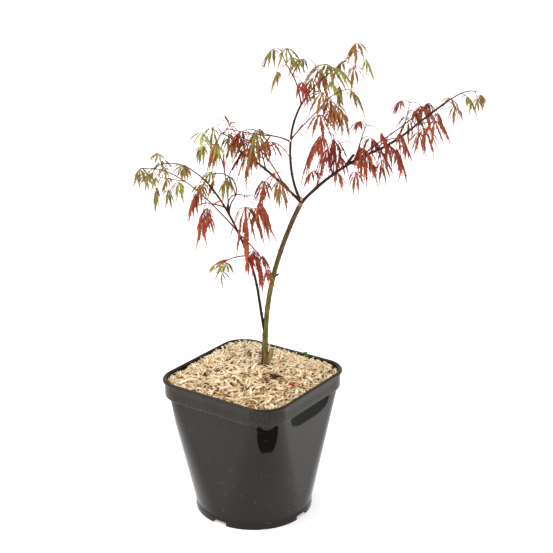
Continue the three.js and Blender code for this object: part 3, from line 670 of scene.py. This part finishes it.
# first: where the pairs of leaves begin on the stem; leaf: the middle lobe's length; hang: how
# strongly it droops; forks: how many pairs hold a side twig; tints: the colours dealt to leaves.
# The rule, its draws and its rows are those of the solids, with two more lobes a leaf.
SPRAY_COLUMNS = "on at length turn rise pairs first leaf hang forks tints".split()
SPRAYS = {name: dict(zip(SPRAY_COLUMNS, values)) for name, *values in [
    ("far_left_arch", "left_stem", 1, 82, 190, (48, 36, 2, -42), 3, 0.4, 24, 2, 0, "olive olive bronze"),
    ("far_left_low", "left_stem", 0.66, 155, 160, (46, 42, 36, 18, -12), 3, 0.6, 28, 3, 1,
     "olive light olive"),
    ("left_green", "left_stem", 0.77, 90, 170, (85, 125, 60, 0, -35), 3, 0.6, 28, 3, 0,
     "olive light bronze"),
    ("up_left", "left_stem", 0.78, 112, 215, (90, 84, 80, 62, 15), 2, 0.85, 28, 3, 0, "olive light"),
    ("hanging", "left_stem", 0.8, 40, -20, (88, 70, 15, -20), 2, 0.95, 58, 4.5, 0, "bronze rust rust"),
    ("left_red", "left_stem", 0.82, 28, 205, (30, 10), 2, 0.5, 42, 4, 0, "crimson rust light"),
    ("lower_left", "left_stem", 0.5, 40, 170, (0, -20, -45), 2, 0.7, 24, 2, 0, "olive light"),
    ("right_droop", "left_stem", 0.64, 48, -20, (-34, -46, -48), 3, 0.3, 36, 3, 0,
     "rust rust bronze crimson"),
    ("left_tip", "left_bough", 1, 34, 165, (70, 45, 10), 2, 0.4, 36, 3.5, 0, "bronze olive rust"),
    ("left_mid", "left_bough", 0.6, 46, 200, (80, 74, 60), 3, 0.3, 42, 3, 0, "rust bronze crimson rust"),
    ("left_under", "left_bough", 0.45, 26, 265, (35, 15), 3, 0.2, 36, 3, 0, "bronze olive rust"),
    ("left_back", "left_bough", 0.3, 100, 150, (60, 50, 30, 5), 2, 0.7, 28, 1, 0, "olive bronze rust"),
    ("centre_left", "centre_bough", 0.62, 84, 160, (24, 0, 5, 9), 3, 0.3, 36, 3, 1,
     "rust bronze rust olive"),
    ("centre_right", "centre_bough", 0.64, 100, -25, (52, 46, 50, 18), 3, 0.5, 38, 3, 1,
     "olive bronze rust rust"),
    ("top_left", "centre_bough", 1, 76, 215, (76, 74, 58, 56, 75), 3, 0.5, 36, 3, 0, "olive crimson olive"),
    ("top_right", "centre_bough", 1, 100, 30, (50, 44, 26, 34, 36), 4, 0.35, 40, 3, 1,
     "light olive bronze olive"),
    ("right_near", "right_bough", 0.12, 18, 60, (70, 60), 1, 1, 38, 3, 0, "orange rust"),
    ("right_front", "right_bough", 0.24, 50, -40, (84, 90, 95), 3, 0.4, 58, 4, 0, "rust rust crimson"),
    ("right_under", "right_bough", 0.34, 18, -40, (30, 0), 1, 1, 34, 3, 0, "rust crimson rust"),
    ("right_stub_twig", "right_bough", 0.38, 50, -20, (70, 75, 70), 2, 0.6, 38, 3, 0, "rust rust crimson"),
    ("right_mid", "right_bough", 0.52, 32, -20, (60, 40, 0), 3, 0.2, 42, 3.5, 0, "rust rust bronze"),
    ("right_back", "right_bough", 0.42, 120, 30, (34, 24, 28, 30), 3, 0.65, 36, 3, 1, "rust bronze rust"),
    ("right_out", "right_bough", 0.75, 26, -35, (45, 10), 2, 0.5, 38, 3, 0, "rust bronze crimson"),
    ("right_tip", "right_bough", 1, 40, 0, (36, 32, 20, -10), 3, 0.1, 28, 2, 0, "olive bronze"),
]}
LOBE_TURN = np.radians([0, 32, -32, 66, -66, 104, -104])
LOBE_LONG = np.array([1, 0.94, 0.94, 0.78, 0.78, 0.5, 0.5])
STALK_STEPS = 4
TWIG_STEPS = 5
STALK_SHARE = 0.45
TWIG_SHARE = 0.25
MISSING = 0.08


def draws_from(seed):
    """Repeatable draws from 0 to 1, from a linear congruential generator with three warm-ups."""
    state = seed
    for _ in range(3):
        state = (state * 1664525 + 1013904223) % 2**32
    while True:
        state = (state * 1664525 + 1013904223) % 2**32
        yield state / 2**32


def hanging_line(start, leaving, length, pull, steps):
    """Even steps that set out along a direction and are pulled down as they go; for one thread,
    or for arrays of them."""
    t = (np.arange(steps) + 0.5)[:, None] / steps
    way = unit(leaving[..., None, :] + np.asarray(pull)[..., None, None] * t * DOWN)
    steps_on = np.cumsum(way * np.asarray(length)[..., None, None] / steps, -2)
    points = np.concatenate([0 * steps_on[..., :1, :], steps_on], -2) + start[..., None, :]
    return points, np.concatenate([way, way[..., -1:, :]], -2)


def across(way):
    """The level unit vector across a direction, and the one square to both."""
    level = np.array([-way[1], way[0], 0.0])
    level = unit(level) if level @ level > 1e-4 else np.array([1.0, 0, 0])
    return level, np.cross(level, way)


def leaning(way, turn, angle):
    """A direction that leans out of a stem by an angle, on the side that a turn about it gives."""
    level, upright = across(way)
    out = level * np.cos(turn) + upright * np.sin(turn)
    return unit(way * np.cos(angle) + out * np.sin(angle))


def grow_leaf(row, root, way, turn, draw):
    """A leaf: a stalk that leaves at 35 to 80 degrees and droops, and at its end the directions
    forward and sideways of a blade, which is turned about its rib by up to 35 degrees."""
    leaving = leaning(way, turn, np.radians(35 + 45 * draw[2]))
    long = STALK_SHARE * row["leaf"] * (0.55 + 0.9 * draw[3])
    stalk, ways = hanging_line(root, leaving, long, 0.35 * row["hang"], STALK_STEPS)
    forward = ways[-1]
    level, _ = across(forward)
    twist = np.radians(70) * (draw[5] - 0.5)
    side = level * np.cos(twist) + np.cross(forward, level) * np.sin(twist)
    names = row["tints"].split()
    return {"stalk": stalk, "hub": stalk[-1], "forward": forward, "side": side,
            "size": row["leaf"] * (0.7 + 0.6 * draw[4]), "spread": 0.8 + 0.5 * draw[6],
            "hang": row["hang"], "tint": names[int(draw[7] * len(names))]}


def grow_spray(row, stem, ways, seed):
    """Leaves in opposite pairs, each pair square to the last; the first forks of the pairs hold
    a side twig on one side, which bears two pairs of its own."""
    draws = draws_from(seed)
    leaves, twigs = [], []

    def grow_nodes(points, ways, pairs, first, gaps, roll, forks):
        for pair in range(pairs):
            t = first + (1 - first) * (pair / (pairs - 1) if pairs > 1 else 1)
            root, way = place_on(points, t), unit(place_on(ways, t))
            for side in range(2):
                draw = [next(draws) for _ in range(8)]
                turn = np.radians(roll + 90 * pair + 180 * side + (draw[1] - 0.5) * 70)
                if draw[0] < gaps:
                    continue
                if pair < forks and (pair + side) % 2 == 0:
                    leaving = leaning(way, turn, np.radians(35 + 25 * draw[2]))
                    length = TWIG_SHARE * row["length"] * (0.7 + 0.6 * draw[3])
                    twig = hanging_line(root, leaving, length, -0.25 + 0.5 * draw[4], TWIG_STEPS)
                    twigs.append(twig[0])
                    grow_nodes(*twig, 2, 0.55, gaps * 0.6, draw[5] * 360, 0)
                else:
                    leaves.append(grow_leaf(row, root, way, turn, draw))

    grow_nodes(stem, ways, row["pairs"], row["first"], MISSING, 0, row["forks"])
    return leaves, twigs


leaves, side_twigs, stems = [], [], {}
for seed, (name, row) in enumerate(SPRAYS.items(), start=1):
    stems[name], ways = grown_curve(place_on(curves[row["on"]], row["at"]), row)
    more_leaves, more_twigs = grow_spray(row, stems[name], ways, seed)
    leaves += more_leaves
    side_twigs += more_twigs

# Twigs and stalks are thin tubes, thicker where they leave the wood, dark purple-red and pink.
TWIG_COLUMNS = 8


def twig_tubes(lines, rows, first, last, foot):
    """Tubes along many lines at once, tapering from first to last with a swollen foot."""
    lines = np.stack([resampled(line, rows) for line in lines])
    t = np.linspace(0, 1, rows)[None]
    radii = first + (last - first) * t + foot * np.exp(-t * rows / 2.5)
    return tubes(lines, radii * np.where(t < 1, 1, 0.35) + 0 * lines[..., 0], TWIG_COLUMNS)


def place_twigs(name, skins, finish, colours, slot="young_bark", rough=0.5, replaces=()):
    """One mesh of tubes (count x steps x columns) in smooth young bark of two shades."""
    count, steps, columns, _ = skins.shape
    skin = mottled(finish, colours, 110.0, (900.0, 0.25, 0.0002), Roughness=rough,
                   Specular_IOR_Level=0.25)
    place(name, skins, grid_faces(steps, columns, wrap=True, count=count, caps=True), skin, slot,
          replaces=replaces)


place_twigs("twigs", twig_tubes(stems.values(), rows=49, first=0.95, last=0.6, foot=0.5),
            "twig_bark", ("330c10", "6a231f"), replaces=["leaves_" + name for name in SPRAYS])
place_twigs("side_twigs", twig_tubes(side_twigs, rows=16, first=0.6, last=0.42, foot=0.3),
            "side_twig_bark", ("561a1c", "8a3428"))
stalks = [leaf["stalk"] for leaf in leaves]
place_twigs("leaf_stalks", twig_tubes(stalks, rows=12, first=0.42, last=0.3, foot=0.35),
            "stalk_skin", ("7c2620", "a8483a"))

# The blades. Each lobe is a strip of two faces across, folded along its rib like a roof, whose
# edges run in teeth that point to the tip.
LOBE_ROWS = 26
TIP_ROW = 16
SWELL_AT = [0, 0.14, 0.34, 0.5, 0.66, 0.82, 1]
SWELL = [0.28, 0.55, 0.95, 1, 0.66, 0.34, 0.12]
LOBULES = np.array([0.2, 0.3, 0.4, 0.5, 0.6])
LOBULE_LEAN = np.radians(24)
LOBULE_SLIM = np.array([0.8, 1, 0.85, 0.5, 0.04])
TINTS = {  # the blade's two shades, and the redder one of its lobes' tips
    "olive": ("5c501a", "9a8c3e", "a04430"),
    "light": ("7a7a2e", "b8b65e", "ac6244"),
    "bronze": ("763618", "a47634", "963426"),
    "orange": ("94401c", "be6c38", "a83e2a"),
    "rust": ("721c14", "a5522c", "982c26"),
    "crimson": ("74181a", "a8402e", "9c2628"),
}


def lobe_strips(leaves, draws):
    """All lobes of some leaves as strips, lobes x rows x 3, and their side lobes. The middle line
    hangs; half the width swells to the middle and runs out in a thread. Its edges are teeth, wide
    by turns on the left and on the right. A side lobe leans out by turns to either side; it is a
    quarter as long as the lobe at the base and shorter towards the tip, and hangs too."""
    hub, forward, side, spread, size, hang = (
        np.repeat(np.array([leaf[key] for leaf in leaves]), len(LOBE_TURN), 0)
        for key in ("hub", "forward", "side", "spread", "size", "hang"))
    angle = np.tile(LOBE_TURN, len(leaves)) * spread
    count = len(angle)
    length = size * np.tile(LOBE_LONG, len(leaves)) * draws.uniform(0.82, 1.18, count)
    cos, sin = np.cos(angle)[:, None], np.sin(angle)[:, None]
    leaving, sideways = forward * cos + side * sin, side * cos - forward * sin
    hang = hang * draws.uniform(0.8, 1.25, count)
    line, way = hanging_line(hub, leaving, length, hang, LOBE_ROWS - 1)
    t = np.linspace(0, 1, LOBE_ROWS)
    sway = draws.normal(0, 0.08, (count, 1)) * t**2 + draws.normal(0, 0.012, (count, 1)) * np.sin(
        t * 9 + draws.uniform(0, 6, (count, 1)))
    along = unit(line[:, -1] - line[:, 0])
    width = unit(np.stack([-leaving[:, 1], leaving[:, 0], 0 * leaving[:, 0]], -1))
    width = unit(width - along * (width * along).sum(-1, keepdims=True))
    width *= np.sign((width * sideways).sum(-1, keepdims=True) + 1e-9)
    roll = draws.normal(0, 0.35, (count, 1))
    up = np.cross(along, width)
    width, up = width * np.cos(roll) + up * np.sin(roll), up * np.cos(roll) - width * np.sin(roll)
    line = line + width[:, None] * (sway * length[:, None])[..., None]
    half = (0.7 + 0.03 * length)[:, None] * np.interp(t, SWELL_AT, SWELL)
    tooth = np.where((t > 0.12) & (t < 0.93), 1, 0) * np.where(np.arange(LOBE_ROWS) % 2, 1, -1)
    bite = draws.uniform(0.15, 0.35, (count, 1))
    left, right = half * (1 + bite * tooth), half * (1 - bite * tooth)
    push = way * (length / LOBE_ROWS * 0.75)[:, None, None]
    droop = up[:, None] * 0.45
    push_left, push_right = (push * np.clip(sign * tooth, 0, 1)[:, None] for sign in (1, -1))
    edges = [line - (width[:, None] + droop) * left[..., None] + push_left, line,
             line + (width[:, None] - droop) * right[..., None] + push_right]

    turns = np.where(np.arange(len(LOBULES)) % 2, 1, -1)
    start, heading = (np.stack([place_on(np.moveaxis(along_it, 1, 0), spot) for spot in LOBULES], 1)
                      for along_it in (line, way))
    lean = LOBULE_LEAN * turns * draws.uniform(0.7, 1.3, (count, len(LOBULES)))
    aside = unit(heading * np.cos(lean)[..., None] + width[:, None] * np.sin(lean)[..., None])
    reach = length[:, None] * 0.28 * (1.15 - LOBULES) * draws.uniform(0.7, 1.25, lean.shape)
    pull = 0.6 * hang[:, None] + 0 * reach
    rib, _ = hanging_line(start, aside, reach, pull, len(LOBULE_SLIM) - 1)
    slim = ((0.28 + 0.02 * length)[:, None, None] * LOBULE_SLIM)[..., None]
    out = (width[:, None] * np.cos(lean)[..., None] - heading * np.sin(lean)[..., None])[:, :, None]
    lobules = np.stack([rib - out * slim, rib + out * slim], 3)
    return np.stack(edges, 2), lobules.reshape(-1, *lobules.shape[2:])


draws = np.random.default_rng(7)
for tint, (low, high, tip) in TINTS.items():
    blade, tips = (mottled(name + tint, (dark, high), 210.0, (700.0, 0.35, 0.0003), Roughness=0.5,
                           Specular_IOR_Level=0.25)
                   for name, dark in (("leaf_", low), ("lobe_tip_", tip)))
    strips, lobules = lobe_strips([leaf for leaf in leaves if leaf["tint"] == tint], draws)
    for name, part, finish in (("leaves_in_", strips[:, :TIP_ROW + 1], blade),
                               ("lobe_tips_in_", strips[:, TIP_ROW:], tips),
                               ("lobules_in_", lobules, blade)):
        count, rows, columns, _ = part.shape
        place(name + tint, part, grid_faces(rows, columns, count=count), finish, "leaf")

# ---------------------------------------------------------------- bud scales
# Crimson scales and leaf stalks are left where buds have opened. They are fleshy, swell in the
# middle, and stand on the twigs at a few nodes.

SCALES = [  # spray, how far along its stem, length, turn, rise, radius
    ("left_mid", 0.55, 26, -25, 62, 1.6), ("left_mid", 0.55, 24, -25, 36, 1.5),
    ("left_mid", 0.8, 16, 190, 10, 0.9), ("left_mid", 0.3, 18, -10, 55, 0.8),
    ("up_left", 0.5, 24, 0, 93, 1.3), ("left_green", 0.3, 14, 0, 100, 0.9),
    ("left_red", 0.6, 13, 20, 25, 1), ("left_red", 1, 12, 180, -10, 0.9),
    ("lower_left", 0.7, 18, 180, -12, 1.9), ("right_droop", 0.2, 15, 0, -85, 1.8),
    ("right_droop", 1, 22, 0, -84, 0.9), ("left_under", 0.6, 32, 180, -66, 0.7),
    ("left_under", 1, 12, 0, 20, 0.8), ("right_under", 0.3, 12, 0, -8, 1.2),
    ("right_stub_twig", 0.3, 10, 0, 70, 0.9), ("top_left", 0.2, 10, 0, 70, 0.8),
    ("centre_right", 0.15, 12, 0, 60, 0.8), ("right_back", 0.3, 10, 0, 10, 0.8),
]
SCALE_ROWS = 12

SCARS = [("trunk", 0.985, 7, -80, 25, 3), ("trunk", 1, 8, 0, 95, 2.4),
         ("trunk", 0.55, 5, 190, 20, 2.2), ("left_stem", 0.5, 4, -60, 20, 1.7),
         ("centre_bough", 0.63, 4, -100, 20, 1.6), ("left_bough", 0.45, 4, -60, -20, 1.5)]


def swollen_tubes(rows, starts):
    """Round tubes that swell in the middle, one for each row of length, turn, rise and radius."""
    t = np.linspace(0, 1, SCALE_ROWS)
    lines, radii = [], []
    for (*_, length, turn, rise, radius), start in zip(rows, starts):
        lines.append(hanging_line(start, direction(turn, rise), length, 0.3, SCALE_ROWS - 1)[0])
        radii.append(radius * np.sin(np.pi * (0.16 + 0.82 * t)) ** 0.8)
    return tubes(np.array(lines), np.array(radii), TWIG_COLUMNS)


for name, rows, lines, *look in (
        ("bud_scales", SCALES, stems, "bud_scale_skin", ("a30d20", "dc2c42")),
        ("bud_scars", SCARS, curves, "scar_skin", ("6a4c34", "dcc8a0"), "young_bark", 0.8)):
    starts = [place_on(lines[row[0]], row[1]) for row in rows]
    place_twigs(name, swollen_tubes(rows, starts), *look)

# ---------------------------------------------------------------- litter
# A few bits have fallen on the mulch: a dry, dark, curled leaf in front of the trunk, red bud
# scales and stalks, and a green seedling at the far wall.

LITTER = [  # colours, then for each bit: x, y, height over the heap, length, turn, rise, radius
    ("dry", ("24100f", "4a2622"), [(40, -20, 8, 18, 0, 8, 2), (44, -22, 8, 15, 60, 14, 1.6),
                                   (40, -18, 9, 13, -50, 0, 1.6), (48, -14, 8, 14, 150, 16, 1.3),
                                   (38, -24, 8, 11, -100, 5, 1.2)]),
    ("red", ("8a1220", "d2283c"), [(66, -15, 5, 9, 10, 15, 1.3), (69, -11, 5, 8, -60, 10, 1.1),
                                   (60, -20, 5, 8, 120, 10, 0.9), (20, 30, 3, 14, 20, 80, 0.6),
                                   (72, 66, 4, 7, 0, 10, 1.4), (24, 24, 4, 9, -20, 50, 0.6),
                                   (-62, -76, 5, 6, 40, 10, 1.2)]),
    ("green", ("3f6a1c", "8cb04a"), [(30, 84, 4, 11, 160, 86, 0.8), (30, 84, 12, 6, 190, 15, 1.2)]),
]

for kind, colours, bits in LITTER:
    starts = np.array([bit[:3] for bit in bits], float)
    inward = 1 - np.linalg.norm(starts[:, :2] - TRUNK_FOOT[:2], axis=1) / SOIL_HALF
    starts[:, 2] += SOIL_RIM + (SOIL_CROWN - SOIL_RIM) * np.sin(np.clip(inward, 0, 1) * np.pi / 2)
    place_twigs("litter_" + kind, swollen_tubes(bits, starts), "litter_skin_" + kind, colours,
                "mulch", rough=0.7)

# ---------------------------------------------------------------- floor, light and camera
# A pale floor under soft light from all round, and a camera that looks down on one corner.

floor_mesh = bpy.data.meshes.new("floor")
floor_mesh.from_pydata([(-30, -30, 0), (30, -30, 0), (30, 30, 0), (-30, 30, 0)], [], [(0, 1, 2, 3)])
floor = bpy.data.objects.new("floor", floor_mesh)
bpy.context.scene.collection.objects.link(floor)
floor_mesh.materials.append(new_finish(
    "floor_paint", Roughness=0.8, Base_Color=paint("ffffff"), Emission_Color=paint("ffffff"),
    Emission_Strength=0.35)[0])
floor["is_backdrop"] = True

world = bpy.data.worlds.new("studio")
world.use_nodes = True
sky = world.node_tree.nodes["Background"].inputs
sky["Color"].default_value = (1, 1, 1, 1)
sky["Strength"].default_value = 1.02
bpy.context.scene.world = world

lamp = bpy.data.lights.new("key", "AREA")
lamp.size, lamp.energy = 1.2, 34
key = bpy.data.objects.new("key", lamp)
key.location = (-1.2, -1.8, 2.3)
key.rotation_mode = "QUATERNION"
key.rotation_quaternion = (Vector((0, 0, 0.3)) - key.location).to_track_quat("-Z", "Y")
bpy.context.scene.collection.objects.link(key)

CAMERA_AIM = np.array([25, 18, 326]) / 1000
CAMERA_TURN, CAMERA_TILT = np.radians([34.8, 19.35])  # round from -Y towards +X, and down
CAMERA_AWAY = 1.625
camera = bpy.data.objects.new("camera", bpy.data.cameras.new("camera"))
camera.data.lens = 82
camera.data.sensor_width = 36
camera.location = CAMERA_AIM + CAMERA_AWAY * np.array([
    np.sin(CAMERA_TURN) * np.cos(CAMERA_TILT), -np.cos(CAMERA_TURN) * np.cos(CAMERA_TILT),
    np.sin(CAMERA_TILT)])
camera.rotation_euler = (np.pi / 2 - CAMERA_TILT, 0, CAMERA_TURN)
bpy.context.scene.collection.objects.link(camera)
bpy.context.scene.camera = camera
bpy.context.scene.view_settings.view_transform = "Standard"

low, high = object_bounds()
